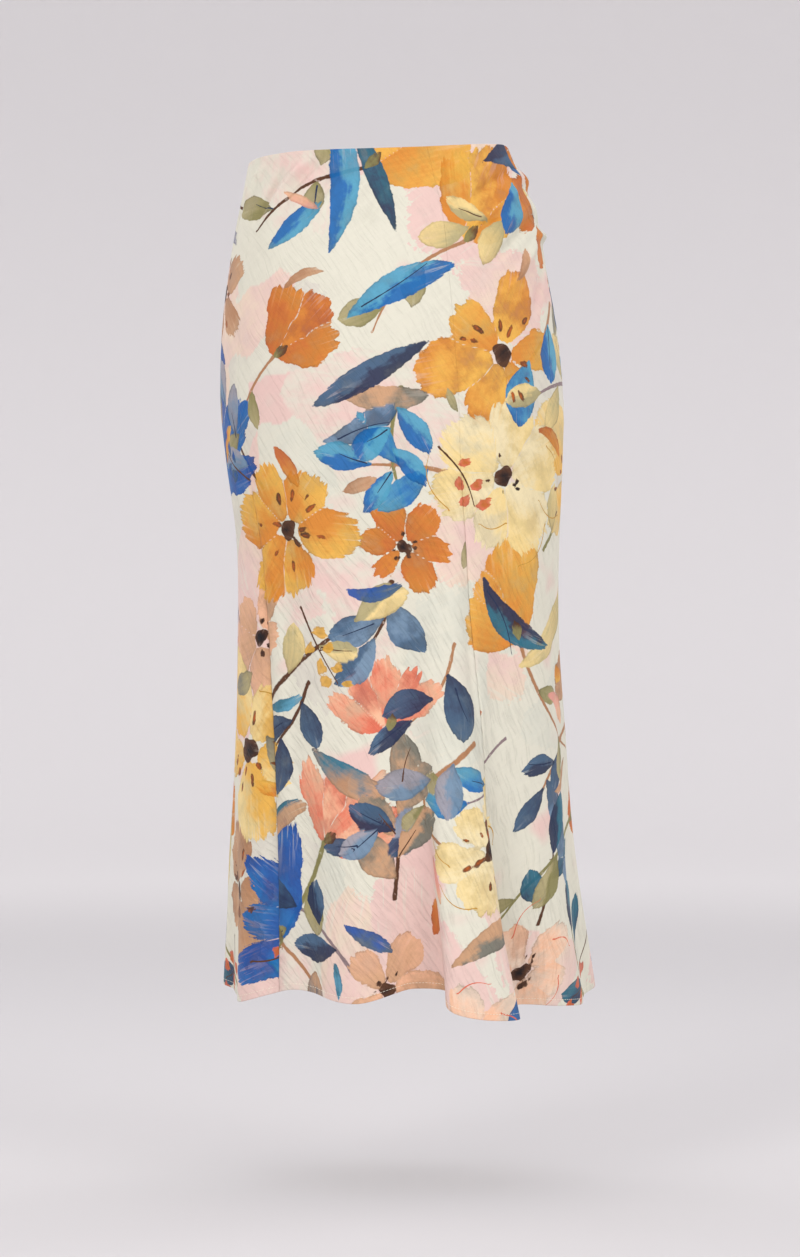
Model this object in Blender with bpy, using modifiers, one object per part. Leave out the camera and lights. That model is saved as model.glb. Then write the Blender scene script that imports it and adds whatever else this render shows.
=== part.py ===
# Midi skirt in its worn form: four cloth panels round one open hollow.
# Metres, +Z up. The origin is the middle of the waist opening at its edge.
# The back faces -Y, the front +Y, and +X is the skirt's right side as worn.
# Angles are in degrees round the skirt: 0 at the middle of the back, 90 at the right side.
# A drop is a distance down from the waist edge.

import bmesh
import bpy
import numpy as np

LENGTH = 0.838          # waist edge to hem, measured straight down
WALL = 0.0012           # thickness of the cloth wall
SEAM_GAP = 0.0003       # space left between two panels at a seam
EDGE_FADE = 0.16        # drop over which the waist edge's own rise fades out
FLUTE_GROWTH = 1.15     # how a flute's height grows with the drop: 1 is a straight cone
CURL_GROWTH = 2.2       # how a flute's side curl grows, so that it overhangs near the hem only
CLOTH_COLOR = (0.84, 0.80, 0.70, 1.0)
CLOTH_ROUGHNESS = 0.72

# The plain body of the skirt, without its flutes, on a general figure.
SECTION_COLUMNS = ("drop", "left", "right", "back", "front")
SECTIONS = (
    (0.000, 0.1315, 0.1305, 0.0900, 0.0880),
    (0.030, 0.1365, 0.1420, 0.0935, 0.0930),
    (0.070, 0.1440, 0.1575, 0.1020, 0.0985),
    (0.120, 0.1510, 0.1670, 0.1135, 0.1040),
    (0.180, 0.1575, 0.1770, 0.1235, 0.1080),
    (0.245, 0.1600, 0.1835, 0.1285, 0.1105),
    (0.310, 0.1535, 0.1820, 0.1275, 0.1120),
    (0.385, 0.1435, 0.1795, 0.1240, 0.1130),
    (0.470, 0.1425, 0.1785, 0.1240, 0.1150),
    (0.580, 0.1440, 0.1825, 0.1270, 0.1200),
    (0.700, 0.1465, 0.1860, 0.1320, 0.1260),
    (0.838, 0.1480, 0.2000, 0.1390, 0.1340),
)

# How far each edge lies from level: the waist's rise and the hem's extra length.
EDGE_COLUMNS = ("angle", "waist_rise", "hem_extra")
EDGES = (
    (-90.0, -0.0120, -0.006),
    (-62.0, -0.0085, 0.004),
    (-39.0, -0.0065, -0.011),
    (-15.0, -0.0060, -0.001),
    (6.0, -0.0050, -0.014),
    (22.0, -0.0030, 0.013),
    (38.0, 0.0000, 0.004),
    (56.0, 0.0030, 0.007),
    (74.0, 0.0040, 0.007),
    (90.0, -0.0060, -0.004),
    (130.0, -0.0080, 0.003),
    (165.0, -0.0070, -0.005),
    (205.0, -0.0080, 0.005),
    (240.0, -0.0100, -0.003),
)

# Flutes that fall from the hip, each widest at the hem. Height and curls are at the hem.
FLUTE_COLUMNS = ("top_angle", "hem_angle", "spread", "start", "height", "left_curl", "right_curl")
FLUTES = (
    (-68.0, -59.0, 16.0, 0.52, 0.014, 0.000, 0.000),
    (-22.0, -14.5, 21.0, 0.40, 0.018, 0.000, 0.000),
    (15.0, 20.8, 18.5, 0.36, 0.050, 0.015, 0.020),
    (58.0, 65.0, 22.0, 0.44, 0.013, 0.000, 0.000),
    (90.0, 92.0, 17.0, 0.50, 0.016, 0.000, 0.000),
    (124.0, 123.0, 19.0, 0.40, 0.034, 0.004, 0.004),
    (160.0, 158.0, 17.0, 0.46, 0.022, 0.000, 0.000),
    (196.0, 197.0, 22.0, 0.38, 0.040, 0.006, 0.004),
    (236.0, 233.0, 16.0, 0.48, 0.024, 0.000, 0.000),
    (268.0, 266.0, 15.0, 0.55, 0.009, 0.000, 0.000),
)

# Small puckers that the right side seam pushes out below the waist.
PUCKER_COLUMNS = ("angle", "drop", "angle_spread", "drop_spread", "height")
PUCKERS = (
    (82.0, 0.0280, 11.0, 0.0085, 0.0080),
    (84.0, 0.0550, 11.0, 0.0120, 0.0038),
    (84.0, 0.0835, 10.0, 0.0055, 0.0065),
)

# Seams run from the waist to the hem. The left one of a panel is the smaller angle.
SEAM_COLUMNS = ("drop", "left_side", "back_left", "back_right", "right_side")
SEAMS = (
    (0.000, -106.0, -63.0, 21.0, 72.0),
    (0.080, -106.0, -63.0, 21.5, 79.0),
    (0.200, -106.0, -62.0, 22.0, 86.0),
    (0.330, -105.0, -60.0, 23.0, 93.0),
    (0.450, -104.0, -55.0, 25.5, 95.0),
    (0.580, -104.0, -50.0, 30.0, 96.0),
    (0.700, -104.0, -46.5, 34.5, 97.0),
    (0.838, -104.0, -45.5, 38.5, 98.0),
)

# Panels as a maker cuts them. A turn of 360 takes the front round past the back's angles.
# Crowding gathers a panel's columns towards its right edge, or its left one where it is
# negative: to the deepest flute on the middle panel, and to the puckers beside the right side.
PANEL_COLUMNS = ("left_seam", "left_turn", "right_seam", "right_turn", "columns", "crowding")
PANELS = {
    "back_left_panel": ("left_side", 0.0, "back_left", 0.0, 12, 0.0),
    "back_center_panel": ("back_left", 0.0, "back_right", 0.0, 32, 0.45),
    "back_right_panel": ("back_right", 0.0, "right_side", 0.0, 16, 0.35),
    "front_panel": ("right_side", 0.0, "left_side", 360.0, 36, -0.35),
}

# Rows of points down every panel, closer together where the puckers are.
ROW_BAND_COLUMNS = ("top", "bottom", "rows")
ROW_BANDS = (
    (0.000, 0.014, 2),
    (0.014, 0.038, 4),
    (0.038, 0.072, 3),
    (0.072, 0.096, 5),
    (0.096, 0.380, 6),
    (0.380, LENGTH, 11),
)


def column(names, rows, name):
    return np.array([row[names.index(name)] for row in rows], dtype=float)


def smooth_read(xs, ys, x):
    # A smooth curve through the points (xs, ys), read at x.
    widths = np.diff(xs)
    slopes = np.diff(ys) / widths
    inner = (slopes[:-1] * widths[1:] + slopes[1:] * widths[:-1]) / (widths[:-1] + widths[1:])
    tangents = np.concatenate(([slopes[0]], inner, [slopes[-1]]))
    place = np.clip(np.searchsorted(xs, x, side="right") - 1, 0, len(widths) - 1)
    width = widths[place]
    t = np.clip((x - xs[place]) / width, 0.0, 1.0)
    start, end = ys[place], ys[place + 1]
    leave, arrive = tangents[place] * width, tangents[place + 1] * width
    return (
        start * (1 + 2 * t) * (1 - t) ** 2
        + leave * t * (1 - t) ** 2
        + end * t * t * (3 - 2 * t)
        + arrive * t * t * (t - 1)
    )


def read_down(names, rows, name, drop):
    return smooth_read(column(names, rows, "drop"), column(names, rows, name), drop)


def read_round(names, rows, name, angle):
    # The same for a table that closes on itself round the skirt.
    angles = column(names, rows, "angle")
    values = column(names, rows, name)
    angles = np.concatenate((angles - 360.0, angles, angles + 360.0))
    return smooth_read(angles, np.tile(values, 3), angle)


def turn_between(angle, centre):
    return (angle - centre + 180.0) % 360.0 - 180.0


def flute_offsets(angle, drop):
    # How far the flutes push the cloth outwards, and sideways towards larger angles.
    outward = np.zeros_like(angle)
    sideways = np.zeros_like(angle)
    for row in FLUTES:
        flute = dict(zip(FLUTE_COLUMNS, row))
        fall = np.clip((drop - flute["start"]) / (LENGTH - flute["start"]), 0.0, 1.0)
        reach = drop / LENGTH
        centre = flute["top_angle"] + (flute["hem_angle"] - flute["top_angle"]) * reach
        across = np.clip(turn_between(angle, centre) / flute["spread"], -1.0, 1.0)
        curl = np.where(across > 0.0, flute["right_curl"], flute["left_curl"])
        outward += flute["height"] * fall**FLUTE_GROWTH * 0.5 * (1.0 + np.cos(np.pi * across))
        sideways += curl * fall**CURL_GROWTH * np.sin(2.0 * np.pi * across)
    return outward, sideways


def pucker_offset(angle, drop):
    outward = np.zeros_like(angle)
    for row in PUCKERS:
        pucker = dict(zip(PUCKER_COLUMNS, row))
        across = turn_between(angle, pucker["angle"]) / pucker["angle_spread"]
        down = (drop - pucker["drop"]) / pucker["drop_spread"]
        outward += pucker["height"] * np.exp(-across * across - down * down)
    return outward


def skirt_point(angle, drop):
    # The point of the cloth's outer face at an angle and a drop.
    left, right, back, front = (
        read_down(SECTION_COLUMNS, SECTIONS, name, drop) for name in SECTION_COLUMNS[1:]
    )
    middle, half = (right - left) / 2.0, (right + left) / 2.0
    sine, cosine = np.sin(np.radians(angle)), np.cos(np.radians(angle))
    depth = np.where(cosine > 0.0, back, front)
    norm = np.hypot(depth * sine, half * cosine)
    out_x, out_y = depth * sine / norm, -half * cosine / norm

    outward, sideways = flute_offsets(angle, drop)
    outward = outward + pucker_offset(angle, drop)
    x = middle + half * sine + outward * out_x - sideways * out_y
    y = -depth * cosine + outward * out_y + sideways * out_x

    rise = read_round(EDGE_COLUMNS, EDGES, "waist_rise", angle)
    extra = read_round(EDGE_COLUMNS, EDGES, "hem_extra", angle)
    near_waist = np.clip(1.0 - drop / EDGE_FADE, 0.0, 1.0) ** 2
    z = -drop + rise * near_waist - extra * (drop / LENGTH) ** 2
    return np.stack((x, y, z), axis=-1)


def row_drops():
    drops = [0.0]
    for row in ROW_BANDS:
        band = dict(zip(ROW_BAND_COLUMNS, row))
        steps = np.linspace(band["top"], band["bottom"], band["rows"] + 1)
        drops.extend(steps[1:])
    return np.array(drops)


def panel_surface(name):
    # A grid of faces laid on the skirt between the panel's two seams.
    panel = dict(zip(PANEL_COLUMNS, PANELS[name]))
    drops = row_drops()
    columns, rows = panel["columns"], len(drops) - 1
    bm = bmesh.new()
    bmesh.ops.create_grid(bm, x_segments=columns, y_segments=rows, size=0.5)
    across = np.array([vert.co.x + 0.5 for vert in bm.verts])
    step_down = np.rint((0.5 - np.array([vert.co.y for vert in bm.verts])) * rows).astype(int)
    drop = drops[step_down]
    across = across + panel["crowding"] * across * (1.0 - across)

    left = read_down(SEAM_COLUMNS, SEAMS, panel["left_seam"], drop) + panel["left_turn"]
    right = read_down(SEAM_COLUMNS, SEAMS, panel["right_seam"], drop) + panel["right_turn"]
    half_width = read_down(SECTION_COLUMNS, SECTIONS, "back", drop)
    inset = np.degrees(SEAM_GAP / 2.0 / half_width)
    angle = left + inset + (right - left - 2.0 * inset) * across

    for vert, point in zip(bm.verts, skirt_point(angle, drop)):
        vert.co = point
    mesh = bpy.data.meshes.new(name)
    bm.to_mesh(mesh)
    bm.free()
    return mesh


def cloth_material(name):
    material = bpy.data.materials.new(name)
    material.use_nodes = True
    shader = material.node_tree.nodes["Principled BSDF"]
    shader.inputs["Base Color"].default_value = CLOTH_COLOR
    shader.inputs["Roughness"].default_value = CLOTH_ROUGHNESS
    shader.inputs["Metallic"].default_value = 0.0
    return material


def build_panel(name, collection):
    mesh = panel_surface(name)
    mesh.shade_smooth()
    mesh.materials.append(cloth_material(name + "_cloth"))
    panel = bpy.data.objects.new(name, mesh)
    collection.objects.link(panel)
    wall = panel.modifiers.new("wall", "SOLIDIFY")
    wall.thickness = WALL
    wall.offset = -1.0
    wall.use_even_offset = True
    return panel


def main():
    for old in list(bpy.data.objects):
        bpy.data.objects.remove(old, do_unlink=True)
    collection = bpy.data.collections.new("midi_skirt")
    bpy.context.scene.collection.children.link(collection)
    for name in PANELS:
        build_panel(name, collection)


main()
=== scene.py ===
# A midi skirt of light crepe with a painterly floral print, kept in its worn form.
# Metres. The back faces -Y. Angles are degrees round the skirt, 0 at the middle of the back.
# A drop is a distance down from the waist edge.
import math

import bpy
import numpy as np
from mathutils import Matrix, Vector


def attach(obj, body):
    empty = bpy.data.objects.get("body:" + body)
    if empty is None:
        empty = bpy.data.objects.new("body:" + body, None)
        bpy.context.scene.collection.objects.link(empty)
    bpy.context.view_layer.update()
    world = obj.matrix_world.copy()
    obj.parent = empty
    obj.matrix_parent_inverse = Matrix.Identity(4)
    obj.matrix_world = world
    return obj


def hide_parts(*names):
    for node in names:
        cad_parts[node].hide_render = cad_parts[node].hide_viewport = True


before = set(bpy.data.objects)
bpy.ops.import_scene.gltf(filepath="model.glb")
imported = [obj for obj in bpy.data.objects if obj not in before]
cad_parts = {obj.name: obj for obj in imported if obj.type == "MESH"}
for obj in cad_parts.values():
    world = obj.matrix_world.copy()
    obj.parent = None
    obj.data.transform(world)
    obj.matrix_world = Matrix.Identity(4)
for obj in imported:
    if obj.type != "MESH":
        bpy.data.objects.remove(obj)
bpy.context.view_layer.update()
print("frame loaded:", sorted(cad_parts))


# Camera: level, at the height of the middle of the picture
viewpoint = {
    "side": 0.020,          # how far to the right of the waist's middle
    "distance": 4.0,
    "height": -0.4755,
    "pictureHeight": 1.257,  # what the long side of the picture spans at the skirt
    "sensor": 36.0,
}


def placeCamera():
    data = bpy.data.cameras.new("viewCamera")
    data.sensor_width = viewpoint["sensor"]
    data.lens = viewpoint["sensor"] * viewpoint["distance"] / viewpoint["pictureHeight"]
    camera = bpy.data.objects.new("viewCamera", data)
    camera.location = (viewpoint["side"], -viewpoint["distance"], viewpoint["height"])
    camera.rotation_euler = (math.radians(90), 0, 0)
    bpy.context.scene.collection.objects.link(camera)
    bpy.context.scene.camera = camera


def deselectAll():
    for item in bpy.context.selected_objects:
        item.select_set(False)


# Shader maths
class Flow:
    # A value that runs through a material's nodes, so that sums on it read as plain maths.
    def __init__(self, shading, socket):
        self.shading = shading
        self.socket = socket

    def maths(self, operation, *others):
        values = dict(enumerate((self,) + others))
        return self.shading.node("ShaderNodeMath", {"operation": operation}, values)

    def __add__(self, other):
        return self.maths("ADD", other)

    __radd__ = __add__

    def __sub__(self, other):
        return self.maths("SUBTRACT", other)

    def __rsub__(self, other):
        return self.shading.node("ShaderNodeMath", {"operation": "SUBTRACT"}, {0: other, 1: self})

    def __mul__(self, other):
        return self.maths("MULTIPLY", other)

    __rmul__ = __mul__

    def size(self):
        return self.maths("ABSOLUTE")

    def rise(self, low, high):  # 0 at low, 1 at high, smooth between
        limits = {0: self, 1: low, 2: high}
        return self.shading.node("ShaderNodeMapRange", {"interpolation_type": "SMOOTHSTEP"}, limits)

    def parts(self):
        return [self.shading.node("ShaderNodeSeparateXYZ", {}, {0: self}, out) for out in range(3)]


class Shading:
    def __init__(self, name):
        self.material = bpy.data.materials.new(name)
        self.material.use_nodes = True
        self.tree = self.material.node_tree
        self.surface = self.tree.nodes["Principled BSDF"]

    def node(self, kind, settings, values, output=0):
        node = self.tree.nodes.new(kind)
        for key, setting in settings.items():
            setattr(node, key, setting)
        for key, value in values.items():
            self.feed(node.inputs[key], value)
        return Flow(self, node.outputs[output])

    def feed(self, socket, value):
        if isinstance(value, Flow):
            self.tree.links.new(value.socket, socket)
        else:
            socket.default_value = value

    def attribute(self, name, output):
        outputs = ("Color", "Vector", "Fac", "Alpha")
        return self.node("ShaderNodeAttribute", {"attribute_name": name}, {}, outputs.index(output))

    def vector(self, x, y, z=0.0):
        return self.node("ShaderNodeCombineXYZ", {}, {0: x, 1: y, 2: z})

    def noise(self, place, scale, detail=2.0, roughness=0.5):
        values = {"Vector": place, "Scale": scale, "Detail": detail, "Roughness": roughness}
        return self.node("ShaderNodeTexNoise", {}, values)

    def blend(self, amount, first, second, kind="MIX"):
        settings = {"data_type": "RGBA", "blend_type": kind}
        return self.node("ShaderNodeMix", settings, {0: amount, 6: first, 7: second}, 2)

    def finish(self, values):
        for key, value in values.items():
            self.feed(self.surface.inputs[key], value)
        return self.material


def inkOf(red, green, blue):  # a screen colour as the linear one that a shader takes
    parts = np.array((red, green, blue)) / 255
    return np.where(parts > 0.04045, ((parts + 0.055) / 1.055) ** 2.4, parts / 12.92)


# Round studio sweep and soft lights
studio = {
    "floorDrop": 1.025,     # from the waist to the floor that the skirt hangs over
    "floorRadius": 6.0,
    "sweepRadius": 2.5,
    "wallHeight": 5.0,
    "floorRings": 9,
    "bendRings": 13,
    "sides": 64,
    # The backdrop carries painted light: the floor is darker near the middle and lighter outwards to
    # make up for the lamps' light falling off, and its tone turns to the wall's up the bend.
    "floorColor": (207, 205, 207),
    "sweepColor": (239, 237, 238),
    "wallColor": (231, 229, 230),
    "floorPaintedLight": (0.5, 24),  # squared distances over which the floor's painted light grows, making up for the lamps' light falling off outwards
    "wallPaintedLight": (0.5, 2.5),  # heights over which it becomes the wall's tone, painted to even out the light round the bend
    "mottle": 0.12,
    "mottleScale": 0.8,
    "roughness": 0.85,
    "worldColor": (0.95, 0.930, 0.942, 1),
    "worldStrength": 1.0,
    "lampSpread": math.radians(84),  # keeps the lamps off the floor near them
}

lampColumns = ("name", "place", "target", "size", "power", "tint")
lamps = (
    ("keyLamp", (-1.9, -3.5, 0.9), (0, 0, -0.45), 1.7, 15, (1.0, 0.985, 0.97)),
    ("fillLamp", (2.5, -2.9, 0.6), (0, 0, -0.45), 2.2, 11.5, (1.0, 0.99, 0.98)),
    ("farLeftLamp", (-2.6, 2.8, 1.2), (0, 0, -0.45), 2.4, 7, (1.0, 0.985, 0.97)),
    ("farRightLamp", (3.0, 2.6, 1.2), (0, 0, -0.45), 2.2, 7, (1.0, 0.985, 0.97)),
)


def sweepProfile():
    floor, radius = studio["floorRadius"], studio["sweepRadius"]
    turns = np.radians(np.linspace(0, 90, studio["bendRings"]))
    points = [(reach, 0.0) for reach in np.linspace(0, floor, studio["floorRings"])]
    for turn in turns[1:]:
        points.append((floor + radius * math.sin(turn), radius - radius * math.cos(turn)))
    points.append((floor + radius, studio["wallHeight"]))
    return np.array(points)


def buildStudio():
    profile = sweepProfile()
    deselectAll()
    bpy.ops.mesh.primitive_grid_add(
        x_subdivisions=studio["sides"], y_subdivisions=len(profile) - 1, size=1)
    sweep = bpy.context.object
    sweep.name = "studioSweep"
    spots = np.array([vert.co for vert in sweep.data.vertices])
    turn = (spots[:, 0] + 0.5) * 2 * math.pi
    step = np.rint((spots[:, 1] + 0.5) * (len(profile) - 1)).astype(int)
    reach, height = profile[step, 0], profile[step, 1] - studio["floorDrop"]
    places = np.stack((reach * np.cos(turn), -reach * np.sin(turn), height), axis=1)
    sweep.data.vertices.foreach_set("co", places.ravel())
    sweep.data.shade_smooth()

    shading = Shading("studioPaper")
    place = shading.node("ShaderNodeTexCoord", {}, {}, 3)
    mottle = shading.noise(place, studio["mottleScale"], 2.0)
    x, y, z = place.parts()
    names = ("floorColor", "sweepColor", "wallColor")
    floor, low, wall = ((*inkOf(*studio[name]), 1) for name in names)
    # painted light: the floor lighter away from the middle and the wall's tone up the bend, evening
    # out the lamps' light
    tone = shading.blend((x * x + y * y).rise(*studio["floorPaintedLight"]), floor, low)
    upWall = (z + studio["floorDrop"]).rise(*studio["wallPaintedLight"])
    tone = shading.blend(upWall + (mottle - 0.5) * studio["mottle"], tone, wall)
    shading.finish({"Base Color": tone, "Roughness": studio["roughness"]})
    sweep.data.materials.append(shading.material)


def placeLamps():
    for row in lamps:
        lamp = dict(zip(lampColumns, row))
        target = Vector(lamp["target"])
        data = bpy.data.lights.new(lamp["name"], "AREA")
        data.shape = "DISK"
        data.size = lamp["size"]
        data.energy = lamp["power"]
        data.spread = studio["lampSpread"]
        data.color = lamp["tint"]
        item = bpy.data.objects.new(lamp["name"], data)
        item.location = lamp["place"]
        item.rotation_euler = (target - item.location).to_track_quat("-Z", "Y").to_euler()
        item.visible_camera = False
        bpy.context.scene.collection.objects.link(item)
    world = bpy.data.worlds.new("studioWorld")
    world.use_nodes = True
    background = world.node_tree.nodes["Background"]
    background.inputs["Color"].default_value = studio["worldColor"]
    background.inputs["Strength"].default_value = studio["worldStrength"]
    bpy.context.scene.world = world


# The skirt's form: the same sections, flutes and puckers as its solids
form = {
    "length": 0.838,
    "edgeFade": 0.16,       # drop over which the waist edge's rise fades out
    "fluteGrowth": 1.15,
    "curlGrowth": 2.2,
}

sectionColumns = ("drop", "left", "right", "back", "front")
sections = (
    (0.000, 0.1315, 0.1305, 0.0900, 0.0880),
    (0.030, 0.1365, 0.1420, 0.0935, 0.0930),
    (0.070, 0.1440, 0.1575, 0.1020, 0.0985),
    (0.120, 0.1510, 0.1670, 0.1135, 0.1040),
    (0.180, 0.1575, 0.1770, 0.1235, 0.1080),
    (0.245, 0.1600, 0.1835, 0.1285, 0.1105),
    (0.310, 0.1535, 0.1820, 0.1275, 0.1120),
    (0.385, 0.1435, 0.1795, 0.1240, 0.1130),
    (0.470, 0.1425, 0.1785, 0.1240, 0.1150),
    (0.580, 0.1440, 0.1825, 0.1270, 0.1200),
    (0.700, 0.1465, 0.1860, 0.1320, 0.1260),
    (0.838, 0.1480, 0.2000, 0.1390, 0.1340),
)

edgeColumns = ("angle", "waistRise", "hemExtra")
edges = (
    (-90, -0.0120, -0.006),
    (-62, -0.0085, 0.004),
    (-39, -0.0065, -0.011),
    (-15, -0.0060, -0.001),
    (6, -0.0050, -0.014),
    (22, -0.0030, 0.013),
    (38, 0.0000, 0.004),
    (56, 0.0030, 0.007),
    (74, 0.0040, 0.007),
    (90, -0.0060, -0.004),
    (130, -0.0080, 0.003),
    (165, -0.0070, -0.005),
    (205, -0.0080, 0.005),
    (240, -0.0100, -0.003),
)

fluteColumns = ("topAngle", "hemAngle", "spread", "start", "height", "leftCurl", "rightCurl")
flutes = (
    (-68, -59, 16, 0.52, 0.014, 0.000, 0.000),
    (-22, -14.5, 21, 0.40, 0.018, 0.000, 0.000),
    (15, 20.8, 18.5, 0.36, 0.050, 0.015, 0.020),
    (58, 65, 22, 0.44, 0.013, 0.000, 0.000),
    (90, 92, 17, 0.50, 0.016, 0.000, 0.000),
    (124, 123, 19, 0.40, 0.034, 0.004, 0.004),
    (160, 158, 17, 0.46, 0.022, 0.000, 0.000),
    (196, 197, 22, 0.38, 0.040, 0.006, 0.004),
    (236, 233, 16, 0.48, 0.024, 0.000, 0.000),
    (268, 266, 15, 0.55, 0.009, 0.000, 0.000),
)

puckerColumns = ("angle", "drop", "angleSpread", "dropSpread", "height")
puckers = (
    (82, 0.0280, 11, 0.0085, 0.0080),
    (84, 0.0550, 11, 0.0120, 0.0038),
    (84, 0.0835, 10, 0.0055, 0.0065),
)

seamColumns = ("drop", "leftSide", "backLeft", "backRight", "rightSide")
seams = (
    (0.000, -106, -63.0, 21.0, 72),
    (0.080, -106, -63.0, 21.5, 79),
    (0.200, -106, -62.0, 22.0, 86),
    (0.330, -105, -60.0, 23.0, 93),
    (0.450, -104, -55.0, 25.5, 95),
    (0.580, -104, -50.0, 30.0, 96),
    (0.700, -104, -46.5, 34.5, 97),
    (0.838, -104, -45.5, 38.5, 98),
)


def columnOf(names, rows, name):
    return np.array([row[names.index(name)] for row in rows], dtype=float)


def smoothRead(xs, ys, x):  # a smooth curve through the points (xs, ys), read at x
    widths = np.diff(xs)
    slopes = np.diff(ys) / widths
    inner = (slopes[:-1] * widths[1:] + slopes[1:] * widths[:-1]) / (widths[:-1] + widths[1:])
    tangents = np.concatenate(([slopes[0]], inner, [slopes[-1]]))
    place = np.clip(np.searchsorted(xs, x, side="right") - 1, 0, len(widths) - 1)
    width = widths[place]
    t = np.clip((x - xs[place]) / width, 0, 1)
    leave, arrive = tangents[place] * width, tangents[place + 1] * width
    return (
        ys[place] * (1 + 2 * t) * (1 - t) ** 2
        + leave * t * (1 - t) ** 2
        + ys[place + 1] * t * t * (3 - 2 * t)
        + arrive * t * t * (t - 1)
    )


def readDown(names, rows, name, drop):
    return smoothRead(columnOf(names, rows, "drop"), columnOf(names, rows, name), drop)


def readRound(names, rows, name, angle):  # the same for a table that closes round the skirt
    angles = columnOf(names, rows, "angle")
    angles = np.concatenate((angles - 360, angles, angles + 360))
    return smoothRead(angles, np.tile(columnOf(names, rows, name), 3), angle)


def turnBetween(angle, centre):
    return (angle - centre + 180) % 360 - 180


def smoothStep(value, low, high):
    t = np.clip((value - low) / (high - low), 0, 1)
    return t * t * (3 - 2 * t)


def bowed(bow, length, t):  # how far a bowed line of this length is from a straight one at t
    return bow * length * 4 * t * (1 - t)


def fluteOffsets(angle, drop):
    outward = np.zeros_like(angle)
    sideways = np.zeros_like(angle)
    reach = drop / form["length"]
    for row in flutes:
        flute = dict(zip(fluteColumns, row))
        fall = np.clip((drop - flute["start"]) / (form["length"] - flute["start"]), 0, 1)
        centre = flute["topAngle"] + (flute["hemAngle"] - flute["topAngle"]) * reach
        across = np.clip(turnBetween(angle, centre) / flute["spread"], -1, 1)
        curl = np.where(across > 0, flute["rightCurl"], flute["leftCurl"])
        outward += flute["height"] * fall ** form["fluteGrowth"] * 0.5 * (1 + np.cos(np.pi * across))
        sideways += curl * fall ** form["curlGrowth"] * np.sin(2 * np.pi * across)
    return outward, sideways


def puckerOffset(angle, drop):
    outward = np.zeros_like(angle)
    for row in puckers:
        pucker = dict(zip(puckerColumns, row))
        across = turnBetween(angle, pucker["angle"]) / pucker["angleSpread"]
        down = (drop - pucker["drop"]) / pucker["dropSpread"]
        outward += pucker["height"] * np.exp(-across * across - down * down)
    return outward


def skirtPoint(angle, drop):
    names = sectionColumns[1:]
    left, right, back, front = (readDown(sectionColumns, sections, name, drop) for name in names)
    middle, half = (right - left) / 2, (right + left) / 2
    sine, cosine = np.sin(np.radians(angle)), np.cos(np.radians(angle))
    depth = np.where(cosine > 0, back, front)
    norm = np.hypot(depth * sine, half * cosine)
    outX, outY = depth * sine / norm, -half * cosine / norm
    outward, sideways = fluteOffsets(angle, drop)
    outward = outward + puckerOffset(angle, drop)
    x = middle + half * sine + outward * outX - sideways * outY
    y = -depth * cosine + outward * outY + sideways * outX
    rise = readRound(edgeColumns, edges, "waistRise", angle)
    extra = readRound(edgeColumns, edges, "hemExtra", angle)
    nearWaist = np.clip(1 - drop / form["edgeFade"], 0, 1) ** 2
    z = -drop + rise * nearWaist - extra * (drop / form["length"]) ** 2
    return np.stack((x, y, z), axis=-1)


def skirtOutward(angle, drop):  # unit vectors straight out of the cloth
    turn, fall = 0.15, 0.0006  # small steps round and down
    acrossCloth = skirtPoint(angle + turn, drop) - skirtPoint(angle - turn, drop)
    downCloth = skirtPoint(angle, drop + fall) - skirtPoint(angle, drop - fall)
    out = np.cross(downCloth, acrossCloth)
    return out / np.linalg.norm(out, axis=-1, keepdims=True)
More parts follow.
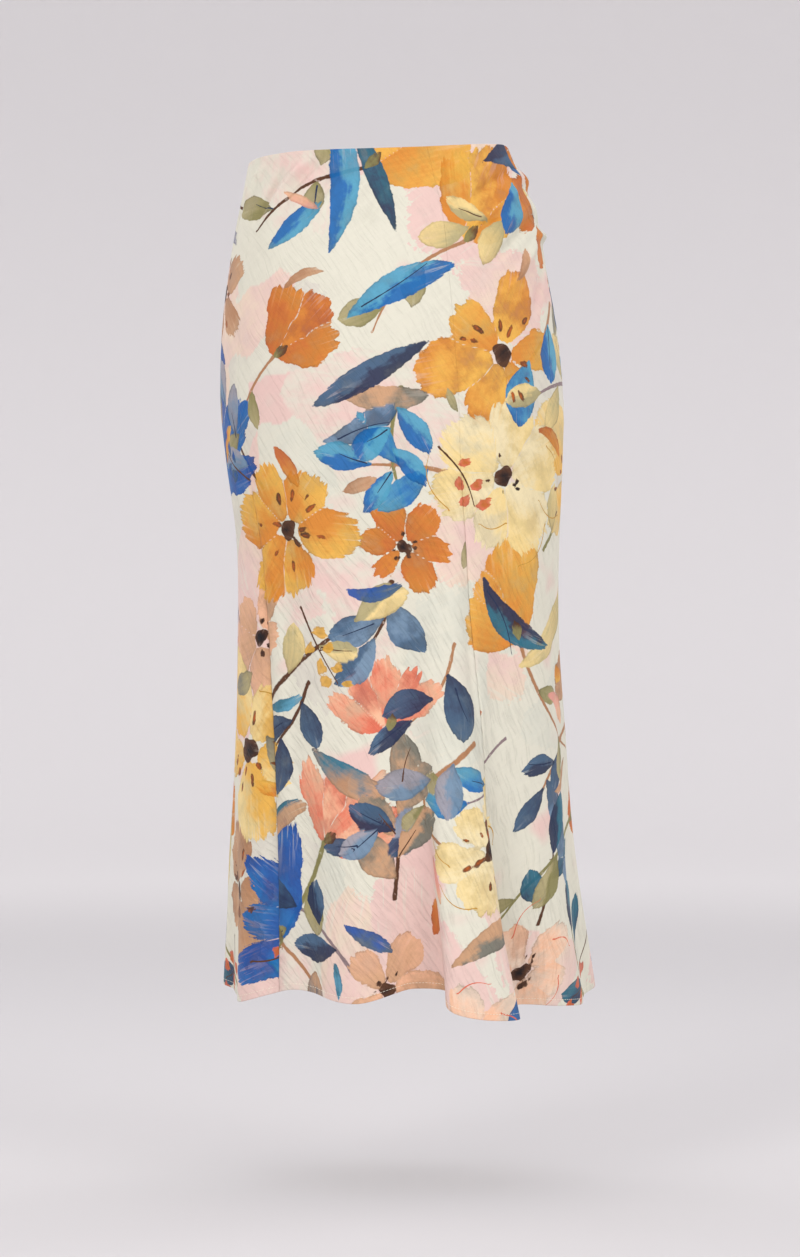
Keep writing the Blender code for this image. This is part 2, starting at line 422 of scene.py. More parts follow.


# Small creases laid on the form. A ridge has a positive height, a trough a negative one.
creaseColumns = ("angle", "drop", "endAngle", "endDrop", "bow", "width", "height")
creases = (
    # drag lines below the waist at the left of the back
    (-20, 0.003, -45, 0.066, 0.10, 0.0050, -0.0052),
    (-31, 0.006, -54, 0.074, 0.06, 0.0046, 0.0042),
    (-9, 0.008, -37, 0.098, 0.08, 0.0057, -0.0046),
    (1, 0.018, -25, 0.110, 0.06, 0.0060, 0.0036),
    (8, 0.030, -13, 0.104, 0.06, 0.0056, -0.0028),
    (-45, 0.008, -64, 0.086, -0.05, 0.0051, -0.0048),
    (-58, 0.006, -75, 0.060, 0.05, 0.0048, 0.0042),
    (-72, 0.020, -86, 0.112, 0.05, 0.0057, -0.0044),
    # pulls that run out of the puckers at the right side seam
    (76, 0.024, 24, 0.072, 0.07, 0.0042, -0.0052),
    (76, 0.038, 18, 0.108, 0.06, 0.0046, 0.0042),
    (80, 0.062, 32, 0.134, 0.05, 0.0048, -0.0052),
    (80, 0.080, 38, 0.166, 0.04, 0.0054, 0.0042),
    (72, 0.010, 38, 0.034, 0.06, 0.0038, 0.0026),
    (82, 0.098, 54, 0.184, 0.03, 0.0056, -0.0036),
    (60, 0.052, 34, 0.076, 0.05, 0.0034, -0.0016),
    (95, 0.030, 124, 0.056, -0.06, 0.0046, -0.0029),
    (96, 0.072, 128, 0.112, -0.05, 0.0050, 0.0025),
    # soft drape from the hip down to the flutes
    (-30, 0.300, -26, 0.560, 0.02, 0.0160, 0.0016),
    (-44, 0.340, -37, 0.690, 0.02, 0.0140, -0.0020),
    (-3, 0.330, 2, 0.640, -0.02, 0.0150, -0.0022),
    (9, 0.300, 12, 0.520, -0.01, 0.0120, 0.0016),
    (36, 0.330, 46, 0.660, 0.02, 0.0150, -0.0018),
    (52, 0.310, 57, 0.540, 0.02, 0.0130, 0.0013),
    (70, 0.350, 78, 0.700, -0.01, 0.0140, -0.0020),
    (-76, 0.380, -72, 0.700, 0.01, 0.0110, 0.0017),
    (-88, 0.430, -84, 0.838, 0.01, 0.0090, -0.0024),
    (-62, 0.250, -66, 0.420, 0.03, 0.0120, -0.0013),
    # the long back seams: a trough outside each and a soft roll inside it
    (25.5, 0.335, 41.0, 0.838, 0.035, 0.0070, -0.0034),
    (18.5, 0.335, 35.0, 0.838, 0.035, 0.0075, 0.0016),
    (-62.5, 0.335, -48.0, 0.838, -0.030, 0.0060, -0.0028),
    (-56.0, 0.335, -42.0, 0.838, -0.030, 0.0065, 0.0013),
    # short ripples near the hem
    (-30, 0.640, -31, 0.838, 0.01, 0.0120, -0.0020),
    (-6, 0.690, -5, 0.838, 0.01, 0.0110, 0.0016),
    (3, 0.600, 3, 0.838, -0.02, 0.0100, -0.0022),
    (52, 0.650, 53, 0.838, 0.01, 0.0120, 0.0018),
    (82, 0.660, 83, 0.838, 0.01, 0.0100, -0.0017),
    (-50, 0.700, -52, 0.838, -0.01, 0.0090, 0.0014),
    # bias ripples across the hip and below it
    (-52, 0.150, -22, 0.215, 0.05, 0.0120, -0.0010),
    (-30, 0.110, 2, 0.165, 0.06, 0.0130, 0.0009),
    (8, 0.170, 38, 0.232, 0.05, 0.0120, -0.0011),
    (-14, 0.250, 18, 0.310, 0.04, 0.0130, 0.0009),
    (30, 0.260, 60, 0.330, 0.05, 0.0120, 0.0010),
    (-48, 0.420, -20, 0.500, 0.04, 0.0120, -0.0009),
    (-10, 0.470, 14, 0.560, 0.04, 0.0110, 0.0010),
    # the same kinds on the front
    (112, 0.010, 138, 0.070, 0.06, 0.0055, -0.0012),
    (128, 0.020, 150, 0.090, 0.05, 0.0060, 0.0011),
    (226, 0.008, 204, 0.062, 0.07, 0.0055, -0.0012),
    (240, 0.020, 222, 0.094, 0.05, 0.0060, 0.0010),
    (250, 0.110, 232, 0.200, 0.03, 0.0090, -0.0012),
    (158, 0.130, 190, 0.160, 0.08, 0.0120, -0.0013),
    (164, 0.190, 200, 0.215, 0.07, 0.0130, 0.0011),
    (140, 0.280, 143, 0.620, 0.02, 0.0150, -0.0020),
    (176, 0.260, 178, 0.600, -0.02, 0.0160, -0.0022),
    (214, 0.300, 216, 0.650, 0.02, 0.0140, -0.0019),
    (108, 0.330, 108, 0.700, 0.01, 0.0130, -0.0018),
    (250, 0.330, 251, 0.760, 0.01, 0.0120, 0.0016),
    (150, 0.640, 149, 0.838, 0.01, 0.0110, 0.0017),
    (180, 0.620, 181, 0.838, -0.01, 0.0110, -0.0020),
    (222, 0.660, 221, 0.838, 0.01, 0.0100, 0.0015),
)

drape = {
    "arcRadius": 0.155,     # metres of cloth for each radian round, for crease lengths
    "startFade": 0.35,      # share of a crease over which it starts
    "endFade": 0.55,        # share of it at which it begins to end
    "rippleHeight": 0.00035,
    "ripples": 9,
    "rippleTurns": (5, 17),  # round the skirt
    "rippleFall": (15, 60),  # how steeply they run down
    "seed": 5,
}


def creaseOffset(angle, drop):
    outward = np.zeros_like(angle)
    scale = math.radians(1) * drape["arcRadius"]
    for row in creases:
        crease = dict(zip(creaseColumns, row))
        mid = (crease["angle"] + crease["endAngle"]) / 2
        x = turnBetween(angle, mid) * scale
        startX, endX = (crease["angle"] - mid) * scale, (crease["endAngle"] - mid) * scale
        runX, runY = endX - startX, crease["endDrop"] - crease["drop"]
        length = math.hypot(runX, runY)
        relX, relY = x - startX, drop - crease["drop"]
        t = (relX * runX + relY * runY) / length ** 2
        side = (relY * runX - relX * runY) / length - bowed(crease["bow"], length, t)
        hem = crease["endDrop"] >= form["length"]  # a crease that reaches the hem doesn't fade there
        ends = smoothStep(t, 0, drape["startFade"])
        ends = ends * (1 if hem else 1 - smoothStep(t, drape["endFade"], 1))
        outward += crease["height"] * ends * np.exp(-((side / crease["width"]) ** 2))
    return outward


def rippleOffset(angle, drop):  # very soft unevenness, longer along the cloth's grain
    random = np.random.default_rng(drape["seed"])
    outward = np.zeros_like(angle)
    for _ in range(drape["ripples"]):
        turns = random.integers(*drape["rippleTurns"])
        falls = random.uniform(*drape["rippleFall"])
        outward += np.sin(np.radians(angle) * turns - falls * drop + random.uniform(0, 6.3))
    return outward * drape["rippleHeight"] / math.sqrt(drape["ripples"])


# Panels: a grid of cloth each, turned in at the waist and hem
# The print runs on round the back down to the hip. Below it the long back seams take some of it in,
# and the front is cut from another stretch of the cloth.
panelColumns = (
    "left", "leftTurn", "right", "rightTurn", "columns", "rows", "leftSeam", "rightSeam",
    "printSkip", "printAcross", "printDown")
panels = {
    "back_left_panel": ("leftSide", 0, "backLeft", 0, 60, 320, "side", "back", -1, 0, 0),
    "back_center_panel": ("backLeft", 0, "backRight", 0, 134, 326, "back", "back", 0, 0, 0),
    "back_right_panel": ("backRight", 0, "rightSide", 0, 72, 326, "back", "side", 1, 0, 0),
    "front_panel": ("rightSide", 0, "leftSide", 360, 150, 300, "side", "side", 0, -0.16, 0.40),
}

cloth = {
    "thickness": 0.00055,
    "foldRadius": 0.0008,   # of the turned edges at the waist and hem
    "foldSteps": 5,
    "waistTurn": 0.008,     # how far the waist edge is turned in
    "hemTurn": 0.007,
    "turnSteps": 3,
    "seamDip": 0.0010,      # how deep a seam draws the cloth in
    "seamSpread": 0.0012,
    "sideSeamDip": 0.8,     # of the full dip
    "hiddenSeamDip": 0.10,  # above the hip, where the back seams don't show
    "seamShows": (0.300, 0.345),
    "puckerLength": 0.021,  # of the small waves along a seam
    "puckerHeight": 0.00035,
    "puckerSpread": 0.009,
    "puckerBeat": 47,       # how fast the waves grow and fade along the seam
    "puckerPhases": (0.0, 2.1),  # at a panel's left and right seam
    "hip": 0.322,
    "printTaken": 0.062,    # how much of the print a back seam takes in at the hem
    "closeColumns": np.array((0.0, 0.0007, 0.0018, 0.0036)),  # columns of points beside a seam
    "arcSpan": (-112, 262),  # degrees over which cloth lengths are measured
    "arcSteps": 1500,
}


def rowPath(rows):
    # (drop, distance in) of each row: up the turned waist edge, down the skirt, up the turned hem
    radius, length = cloth["foldRadius"], form["length"]
    turns = np.linspace(0, math.pi, cloth["foldSteps"] + 1)
    waistIn = np.linspace(cloth["waistTurn"], radius, cloth["turnSteps"] + 1)
    hemIn = np.linspace(length - radius, length - cloth["hemTurn"], cloth["turnSteps"] + 1)
    path = [(drop, 2 * radius) for drop in waistIn[:-1]]
    path += [(radius - radius * math.sin(t), radius + radius * math.cos(t)) for t in turns]
    path += [(drop, 0.0) for drop in np.linspace(radius, length - radius, rows)[1:-1]]
    path += [(length - radius + radius * math.sin(t), radius - radius * math.cos(t)) for t in turns]
    path += [(drop, 2 * radius) for drop in hemIn[1:]]
    return np.array(path)


def columnSpots(width, columns):  # how far each column lies from the left seam, closer at the seams
    close = cloth["closeColumns"]
    middle = np.linspace(close[-1], width - close[-1], columns + 1 - 2 * (len(close) - 1))
    return np.concatenate((close[:-1], middle, width - close[:-1][::-1]))


def seamAngle(name, turn, drop):
    return readDown(seamColumns, seams, name, drop) + turn


def arcTable(drop):  # cloth length round the skirt at one drop, from the middle of the back
    angles = np.linspace(*cloth["arcSpan"], cloth["arcSteps"])
    points = skirtPoint(angles, np.full_like(angles, drop))
    arc = np.concatenate(([0], np.cumsum(np.linalg.norm(np.diff(points, axis=0), axis=1))))
    return angles, arc - np.interp(0, angles, arc)


def layPanel(name):
    panel = dict(zip(panelColumns, panels[name]))
    path = rowPath(panel["rows"])
    shape = (len(path), panel["columns"] + 1)
    angle, flatAcross, fromLeft, fromRight = (np.zeros(shape) for _ in range(4))
    for row, (drop, _) in enumerate(path):
        angles, arc = arcTable(drop)
        left = np.interp(seamAngle(panel["left"], panel["leftTurn"], drop), angles, arc)
        right = np.interp(seamAngle(panel["right"], panel["rightTurn"], drop), angles, arc)
        spots = columnSpots(right - left, panel["columns"])
        angle[row] = np.interp(left + spots, arc, angles)
        fromLeft[row], fromRight[row] = spots, right - left - spots
        taken = cloth["printTaken"] * max(0, (drop - cloth["hip"]) / (form["length"] - cloth["hip"]))
        flatAcross[row] = left + spots + taken * panel["printSkip"] + panel["printAcross"]
    drop = np.broadcast_to(path[:, :1], shape)
    inward = np.broadcast_to(path[:, 1:], shape)
    out = skirtOutward(angle, drop)
    lift = creaseOffset(angle, drop) + rippleOffset(angle, drop) - inward
    kinds = (panel["leftSeam"], panel["rightSeam"])
    for kind, away, phase in zip(kinds, (fromLeft, fromRight), cloth["puckerPhases"]):
        if kind == "side":
            depth = cloth["sideSeamDip"]
        else:
            hidden = cloth["hiddenSeamDip"]
            depth = hidden + (1 - hidden) * smoothStep(drop, *cloth["seamShows"])
        lift = lift - depth * cloth["seamDip"] * np.exp(-((away / cloth["seamSpread"]) ** 2))
        wave = np.sin(2 * np.pi * drop / cloth["puckerLength"] + phase)
        wave = wave * np.sin(drop * cloth["puckerBeat"] + phase)
        near = np.exp(-((away / cloth["puckerSpread"]) ** 2))
        lift = lift + depth * cloth["puckerHeight"] * wave * near
    points = skirtPoint(angle, drop) + out * lift[..., None]
    return {
        "name": name,
        "points": points,
        "out": out,
        "drop": drop,
        "path": path,
        "flat": np.stack((flatAcross, drop + panel["printDown"]), axis=-1).reshape(-1, 2),
        "shape": shape,
    }


# The print: brush marks of a made-up flower pattern, laid out on the flat cloth
inks = {
    "cream": inkOf(232, 229, 212),
    "pinkWash": inkOf(239, 204, 196),
    "peachWash": inkOf(242, 219, 197),
    "mintWash": inkOf(224, 224, 209),
    "greyWash": inkOf(221, 215, 203),
    "yellowWash": inkOf(242, 226, 182),
    "tan": inkOf(205, 160, 122),
    "camel": inkOf(181, 131, 93),
    "mustard": inkOf(202, 152, 58),
    "gold": inkOf(236, 180, 76),
    "paleGold": inkOf(244, 217, 150),
    "orange": inkOf(218, 136, 42),
    "burnt": inkOf(196, 100, 36),
    "coral": inkOf(226, 112, 84),
    "peach": inkOf(243, 188, 152),
    "rose": inkOf(232, 160, 146),
    "navy": inkOf(36, 50, 82),
    "slate": inkOf(66, 98, 130),
    "greyBlue": inkOf(118, 146, 172),
    "lilac": inkOf(162, 160, 170),
    "stone": inkOf(126, 124, 112),
    "ocean": inkOf(14, 106, 176),
    "teal": inkOf(36, 112, 136),
    "sea": inkOf(84, 162, 194),
    "cobalt": inkOf(6, 80, 162),
    "olive": inkOf(140, 134, 84),
    "khaki": inkOf(182, 170, 124),
    "mauve": inkOf(146, 126, 128),
    "umber": inkOf(92, 58, 38),
    "night": inkOf(22, 18, 24),
}

design = {
    "repeat": np.array((0.68, 0.94)),  # across and down the cloth
    "seed": 33,
    "farAway": 0.05,        # what a point far from every mark says its distance is
    "farSide": 40.0,        # the same for a thin line, in half widths
    "markMargin": 0.03,     # how far past a mark its distances are still worked out
    "lineMargin": 0.02,
    # how many of each, and the room that one takes
    "flowers": (27, 0.058),
    "sprigs": (17, 0.040),
    "looseLeaves": (26, 0.034),
    "berryLines": (7, 0.030),
    "dabs": (40, 0.018),
    "patches": 46,
}

layerNames = ("patch", "petal", "bloom", "leaf", "spray", "dab", "dot")
strokeNames = ("stem", "line")  # stems lie under the flowers, thin lines over them
stemInks = ("umber", "camel", "olive", "mauve", "umber", "camel")
blotWaves = ((2, 0.14), (3, 0.10), (5, 0.06))  # of a blot's rim: how many round it, and how deep


def wrapped(offset):  # the shortest way to a place in a print that repeats
    repeat = design["repeat"]
    return (offset + repeat / 2) % repeat - repeat / 2


class PaintLayer:
    # For each point of the cloth: the nearest brush mark, and where the point lies in it.
    def __init__(self, flat):
        count = len(flat)
        self.flat = flat
        self.edge = np.full(count, design["farAway"])   # to the mark's edge, negative inside
        self.rival = np.full(count, design["farAway"])  # the same for the second nearest mark
        self.along, self.across, self.fraction = np.zeros(count), np.zeros(count), np.zeros(count)
        self.firstInk, self.secondInk = np.ones((count, 3)), np.ones((count, 3))

    def around(self, place, turn, reach):
        offset = wrapped(self.flat - place)
        index = np.nonzero((np.abs(offset) < reach).all(axis=1))[0]
        across, down = offset[index].T
        cosine, sine = math.cos(turn), math.sin(turn)
        return index, across * cosine + down * sine, down * cosine - across * sine

    def press(self, index, edge, along, across, fraction, pair):
        closer = edge < self.edge[index]
        won, lost = index[closer], index[~closer]
        self.rival[won] = self.edge[won]
        self.rival[lost] = np.minimum(self.rival[lost], edge[~closer])
        self.edge[won], self.along[won], self.across[won] = edge[closer], along[closer], across[closer]
        self.fraction[won] = fraction[closer]
        self.firstInk[won], self.secondInk[won] = inks[pair[0]], inks[pair[1]]

    def petal(self, random, place, turn, length, width, fingers, pair):
        # An egg that is narrow at its base, with a fingered outer edge
        index, x, y = self.around(place, turn, length + design["markMargin"])
        fraction = np.clip(x / length, 0, 1)
        halfWide, halfLong = width / 2 * (0.60 + 0.52 * fraction), length * 0.48
        dx = x - length * 0.52
        radius = np.hypot(dx / halfLong, y / halfWide)
        slope = np.hypot(dx / halfLong ** 2, y / halfWide ** 2) + 1e-6
        edge = radius * (radius - 1) / slope
        phase = random.uniform(0, 6.3)
        teeth = 0.5 + 0.5 * np.sin(y / width * 2 * np.pi * random.uniform(2.6, 4.4) + phase)
        edge = edge + fingers * teeth * smoothStep(fraction, 0.5, 0.95)
        edge = edge + 0.022 * length * np.sin(3 * np.arctan2(y, dx) + phase)
        self.press(index, edge, x, y, fraction, pair)

    def blade(self, place, turn, length, width, bow, blunt, pair):
        # A bowed leaf or brush stroke: blunt is 1 for a leaf, and less for a square-ended stroke
        index, x, y = self.around(place, turn, length + design["markMargin"])
        t = np.clip(x / length, 0, 1)
        y = y - bowed(bow, length, t)
        half = width / 2 * np.sin(np.pi * np.clip(t, 0.001, 0.999) ** 1.2) ** blunt
        half = np.where(t < 0.2, np.maximum(half, 0.0011), half)
        over = np.maximum(np.maximum(-x, x - length), 0)
        lean = np.where(half > width * 0.2, 1.0, 0.75)
        edge = np.where(over > 0, np.hypot(over, y), (np.abs(y) - half) * lean)
        self.press(index, edge, x, y, t, pair)

    def blot(self, random, place, radius, stretch, turn, pair):
        reach = radius * max(1, stretch) + design["markMargin"]
        index, x, y = self.around(place, turn, reach)
        x = x / stretch
        bearing, away = np.arctan2(y, x), np.hypot(x, y)
        rim = 1
        for (beats, depth), phase in zip(blotWaves, random.uniform(0, 6.3, len(blotWaves))):
            rim = rim + depth * np.sin(beats * bearing + phase)
        self.press(index, away - radius * rim, x, y, np.clip(away / radius, 0, 1), pair)


class StrokeLayer:
    # Thin lines: the side of the line that a point is on, in half widths, and how near it is.
    def __init__(self, flat):
        self.finder = PaintLayer(flat)
        count = len(flat)
        self.side = np.full(count, design["farSide"])
        self.near = np.full(count, design["farAway"])
        self.ink = np.ones((count, 3))

    def line(self, place, turn, length, bow, thick, ink):
        index, x, y = self.finder.around(place, turn, length + design["lineMargin"])
        t = np.clip(x / length, 0, 1)
        y = y - bowed(bow, length, t)
        half = thick / 2 * (1.15 - 0.65 * t)
        over = np.maximum(np.maximum(-x, x - length), 0)
        near = np.hypot(over, y) - half
        closer = near < self.near[index]
        won = index[closer]
        self.near[won] = near[closer]
        self.side[won] = (y / half)[closer]
        self.ink[won] = inks[ink]


def pointOnLine(place, turn, length, bow, t):  # a place along a bowed line, and the line's turn there
    x, y = length * t, bowed(bow, length, t)
    slope = math.atan(bow * 4 * (1 - 2 * t))
    cosine, sine = math.cos(turn), math.sin(turn)
    return np.array((place[0] + x * cosine - y * sine, place[1] + x * sine + y * cosine)), turn + slope


class Painter:
    # Draws whole flowers, sprigs and strokes out of single marks.
    def __init__(self, flat):
        self.random = np.random.default_rng(design["seed"])
        self.layers = {name: PaintLayer(flat) for name in layerNames}
        self.strokes = {name: StrokeLayer(flat) for name in strokeNames}
        self.taken = []
        self.centres = []  # of open flowers, which leaves keep off

    def vary(self, low, high):
        return float(self.random.uniform(low, high))

    def anyTurn(self):
        return self.vary(0, 6.3)

    def freePlaces(self, count, reach):  # well apart from each other and from what is there
        repeat = design["repeat"]
        places = []
        for _ in range(count):
            tries = self.random.random((70, 2)) * repeat
            room = np.full(len(tries), 9.0)
            for spot, other in self.taken:
                away = np.abs(tries - spot)
                away = np.minimum(away, repeat - away)
                room = np.minimum(room, np.hypot(*away.T) / (reach + other))
            best = tries[room.argmax()]
            self.taken.append((best, reach))
            places.append(best)
        return places

    def freer(self, names, place, reach):  # the layer with the least paint round a place
        def painted(name):
            layer = self.layers[name]
            return np.count_nonzero(layer.edge[layer.around(place, 0, reach)[0]] < 0)
        return self.layers[min(names, key=painted)]

    def leaf(self, spot, turn, length, width, bow, blunt, pair):
        middle, _ = pointOnLine(spot, turn, length, bow, 0.5)
        for centre in self.centres:
            if np.hypot(*wrapped(middle - centre)) < 0.010 + length * 0.45:
                return
        layer = self.freer(("leaf", "spray"), middle, length * 0.4)
        layer.blade(spot, turn, length, width, bow, blunt, pair)
        if self.vary(0, 1) > 0.68:
            start, heading = pointOnLine(spot, turn, length, bow, self.vary(0.05, 0.3))
            vein = "umber" if pair[0] in ("khaki", "stone", "tan") else "navy"
            veinLength = length * self.vary(0.35, 0.6)
            self.strokes["line"].line(start, heading, veinLength, -bow / 2, 0.0013, vein)

    def centre(self, place, size, dark="night"):
        dots = self.layers["dot"]
        dots.blot(self.random, place, size, 1.1, self.vary(0, 3), (dark, "umber"))
        count, reaches, sizes, stretch, ink = heartDots["loose" if self.vary(0, 1) > 0.5 else "close"]
        for _ in range(count):
            turn, reach = self.anyTurn(), size * self.vary(*reaches)
            spot = place + reach * np.array((math.cos(turn), math.sin(turn)))
            dots.blot(self.random, spot, self.vary(*sizes), stretch, turn, (ink or dark, "umber"))

    def openFlower(self, place, size, petals, wide, pair, dark="night"):
        first = self.anyTurn()
        layer = self.freer(("petal", "bloom"), place, size * 0.4)
        for number in range(petals):
            turn = first + (number + self.vary(-0.2, 0.2)) * 2 * math.pi / petals
            length = size / 2 * self.vary(0.70, 1.14)
            root = place + 0.05 * size * np.array((math.cos(turn), math.sin(turn)))
            colors = pair if self.vary(0, 1) > 0.3 else (pair[1], pair[0])
            width = length * wide * self.vary(0.78, 1.16)
            layer.petal(self.random, root, turn, length, width, self.vary(0.001, 0.005), colors)
            if pair[0] in outlined and self.vary(0, 1) > 0.3:
                lean = turn + self.vary(-0.5, 0.1)
                rim, _ = pointOnLine(root, lean, length * self.vary(0.6, 0.9), 0, 1)
                bend = turn + self.vary(1.0, 1.7)
                self.strokes["line"].line(
                    rim, bend, length * self.vary(0.4, 0.7), -0.2, 0.0012, outlined[pair[0]])
        self.centre(place, size * 0.066, dark)

    def cupFlower(self, place, size, turn, petals, wide, pair, stemInk="olive"):
        layer = self.freer(("petal", "bloom"), pointOnLine(place, turn, size, 0, 0.5)[0], size * 0.4)
        for number in range(petals):
            fan = (number - (petals - 1) / 2) * self.vary(0.40, 0.52)
            length = size * self.vary(0.78, 1.08) * (1 - 0.12 * abs(fan))
            colors = pair if number % 2 else (pair[1], pair[0])
            width = length * wide * self.vary(0.85, 1.15)
            layer.petal(self.random, place, turn + fan, length, width, self.vary(0.002, 0.006), colors)
        self.layers["dab"].blade(
            place, turn + self.vary(-0.3, 0.3), size * 0.20, 0.011, 0.05, 0.6, (stemInk, "umber"))
        down = turn + math.pi + self.vary(-0.3, 0.3)
        self.sprig(place, down, size * self.vary(1.1, 1.5), 2, (stemInk, "khaki"))

    def daisy(self, place, size, petals, pair, dark):
        first = self.anyTurn()
        layer = self.freer(("petal", "bloom"), place, size * 0.4)
        for number in range(petals):
            turn = first + (number + self.vary(-0.2, 0.2)) * 2 * math.pi / petals
            length = size / 2 * self.vary(0.78, 1.1)
            layer.petal(self.random, place, turn, length, size * 0.135, 0.001, pair)
        self.centre(place, size * 0.075, dark)

    def sprig(self, place, turn, length, leaves, pair, leafSize=0.048):
        bow = self.vary(-0.16, 0.16)
        self.taken.append((pointOnLine(place, turn, length, bow, 0.7)[0], leafSize * 0.5))
        stemInk = stemInks[int(self.vary(0, len(stemInks)))]
        self.strokes["stem"].line(place, turn, length, bow, self.vary(0.0030, 0.0052), stemInk)
        for number in range(leaves):
            t = (number + 0.8) / (leaves + 0.3)
            spot, heading = pointOnLine(place, turn, length, bow, min(t, 1.0))
            side = 1 if number % 2 else -1
            lean = 0.15 if number == leaves - 1 and leaves > 2 else side * self.vary(0.55, 0.95)
            size = leafSize * self.vary(0.8, 1.2)
            width = size * self.vary(0.38, 0.56)
            self.leaf(spot, heading + lean, size, width, self.vary(-0.1, 0.1), 0.8, pair)

    def berries(self, place, turn, length, count, pair):
        bow = self.vary(-0.2, 0.2)
        self.strokes["line"].line(place, turn, length, bow, 0.0020, "umber")
        for number in range(count):
            spot, heading = pointOnLine(place, turn, length, bow, 0.3 + 0.7 * number / (count - 1))
            lean = heading + (1 if number % 2 else -1) * self.vary(0.7, 1.3)
            spot = spot + 0.011 * np.array((math.cos(lean), math.sin(lean)))
            self.layers["dab"].blot(self.random, spot, self.vary(0.0042, 0.0066), 1.35, lean, pair)


# Dots round a flower's heart: how many, how far out in heart sizes, their size and stretch, and
# their ink, where None is the heart's own
heartDots = {
    "loose": (12, (1.5, 4.6), (0.0014, 0.0030), 2.4, "burnt"),
    "close": (7, (1.5, 2.3), (0.0012, 0.0024), 1.6, None),
}

flowerKinds = (
    ("open", 0.136, ("tan", "camel")),
    ("cup", 0.112, ("gold", "orange")),
    ("open", 0.176, ("gold", "paleGold")),
    ("open", 0.092, ("burnt", "orange")),
    ("cup", 0.096, ("peach", "coral")),
    ("open", 0.140, ("peach", "peachWash")),
    ("cup", 0.138, ("cobalt", "ocean")),
    ("open", 0.150, ("orange", "gold")),
    ("daisy", 0.110, ("paleGold", "mustard")),
    ("cup", 0.104, ("orange", "burnt")),
    ("open", 0.118, ("tan", "peach")),
    ("open", 0.130, ("yellowWash", "paleGold")),
)

outlined = {"peach": "coral", "yellowWash": "mustard", "gold": "mustard"}  # thin lines on pale petals

leafPairs = (
    ("navy", "slate"), ("ocean", "sea"), ("teal", "tan"), ("greyBlue", "slate"), ("khaki", "paleGold"),
    ("navy", "teal"), ("sea", "ocean"), ("stone", "khaki"), ("greyBlue", "lilac"), ("tan", "stone"),
    ("navy", "ocean"),
)

washPairs = (
    ("pinkWash", "peachWash"), ("cream", "mintWash"), ("pinkWash", "pinkWash"), ("cream", "greyWash"),
    ("pinkWash", "cream"), ("cream", "cream"), ("peachWash", "pinkWash"), ("cream", "mintWash"),
)

berryPairs = (("burnt", "coral"), ("cobalt", "slate"), ("mustard", "gold"))

dabPairs = (
    ("orange", "gold"), ("teal", "sea"), ("burnt", "orange"), ("olive", "khaki"), ("rose", "peach"),
    ("cobalt", "slate"), ("camel", "tan"),
)


def paintCloth(flat):
    painter = Painter(flat)
    vary, anyTurn = painter.vary, painter.anyTurn
    flowerPlaces = painter.freePlaces(*design["flowers"])
    kinds = [flowerKinds[number % len(flowerKinds)] for number in range(len(flowerPlaces))]
    painter.centres = [place for place, row in zip(flowerPlaces, kinds) if row[0] != "cup"]
    for number, place in enumerate(flowerPlaces):
        kind, size, pair = kinds[number]
        size = size * vary(0.88, 1.1)
        if kind == "open":
            painter.openFlower(place, size, 5 + number % 2, vary(0.72, 0.92), pair)
            turn = anyTurn()
            rim, _ = pointOnLine(place, turn, size * 0.40, 0, 1)
            leafPair = leafPairs[number % len(leafPairs)]
            painter.sprig(rim, turn, size * vary(0.6, 0.9), 3, leafPair, 0.056)
        elif kind == "cup":
            wide = (0.40, 0.62)[number % 2]
            painter.cupFlower(place, size, vary(-2.6, -0.5), 5 - 2 * (number % 2), wide, pair)
        else:
            painter.daisy(place, size, 8 + number % 3, pair, "umber" if number % 2 else "night")
    for number, place in enumerate(painter.freePlaces(*design["sprigs"])):
        pair = leafPairs[(number * 3) % len(leafPairs)]
        painter.sprig(place, anyTurn(), vary(0.10, 0.15), 3 + number % 3, pair, 0.058)
    for number, place in enumerate(painter.freePlaces(*design["looseLeaves"])):
        pair = leafPairs[(number * 7 + 2) % len(leafPairs)]
        painter.leaf(
            place, anyTurn(), vary(0.08, 0.16), vary(0.020, 0.034), vary(-0.2, 0.2), 0.7, pair)
    for number, place in enumerate(painter.freePlaces(*design["berryLines"])):
        pair = berryPairs[number % len(berryPairs)]
        painter.berries(place, anyTurn(), vary(0.05, 0.08), 5 + number % 3, pair)
    for number, place in enumerate(painter.freePlaces(*design["dabs"])):
        size, pair = vary(0.024, 0.060), dabPairs[number % len(dabPairs)]
        painter.layers["dab"].blade(
            place, anyTurn(), size, vary(0.008, 0.016), vary(-0.15, 0.15), 0.5, pair)
    for number in range(design["patches"]):
        place = painter.random.random(2) * design["repeat"]
        pair = washPairs[number % len(washPairs)]
        painter.layers["patch"].blot(
            painter.random, place, vary(0.036, 0.080), vary(1.0, 1.8), vary(0, 3.1), pair)
    return painter


def putAttribute(mesh, name, kind, field, values):
    attribute = mesh.attributes.new(name, kind, "POINT")
    attribute.data.foreach_set(field, np.ascontiguousarray(values, dtype=np.float32).ravel())


